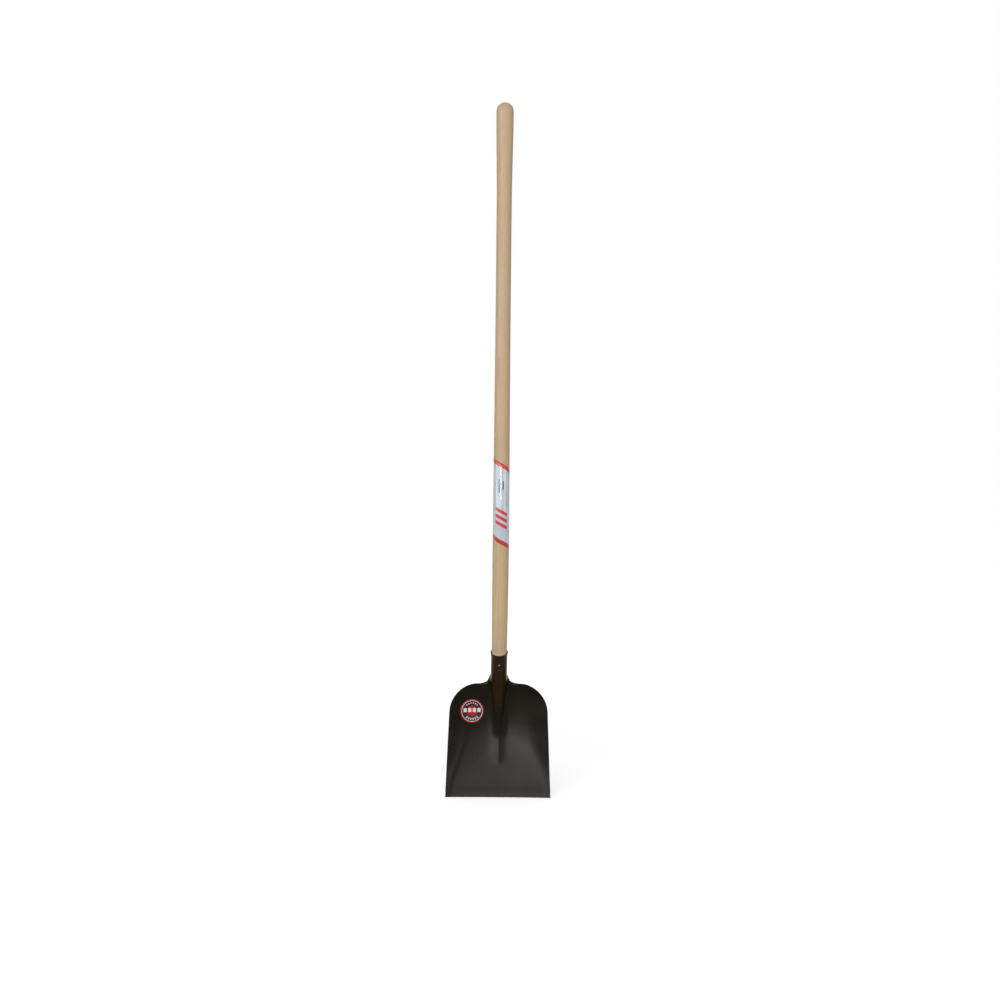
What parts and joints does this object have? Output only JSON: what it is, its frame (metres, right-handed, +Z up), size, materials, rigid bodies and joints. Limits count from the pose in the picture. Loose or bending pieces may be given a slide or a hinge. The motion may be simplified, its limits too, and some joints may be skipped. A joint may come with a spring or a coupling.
{
  "type": "concrete shovel",
  "caption": "Long-handled shovel with a broad, square-edged pressed steel blade, a rolled open-backed socket and a steam-bent wooden handle nailed into it.",
  "frame": {"origin": "middle of the ground face of the cutting edge, which the shovel stands on", "axes": "+Z up, from the cutting edge to the grip; the loading face and the handle's bend face -Y; +X is to the right of someone who looks at the loading face"},
  "size_m": [0.2344, 0.1923, 1.5218],
  "materials": {
    "blade_steel": "black lacquer, semi-gloss, with a brown cast",
    "handle_wood": "smooth sanded ash, unvarnished",
    "nail_steel": "bright plain steel",
    "label_film": "glossy silver-white film with slanted red end bands",
    "sticker_vinyl": "glossy vinyl with red, white and black rings"
  },
  "bodies": {
    "root": {"blade": "blade_steel", "handle": "handle_wood", "socket_nail": "nail_steel", "handle_label": "label_film", "blade_sticker": "sticker_vinyl"}
  },
  "joints": []
}
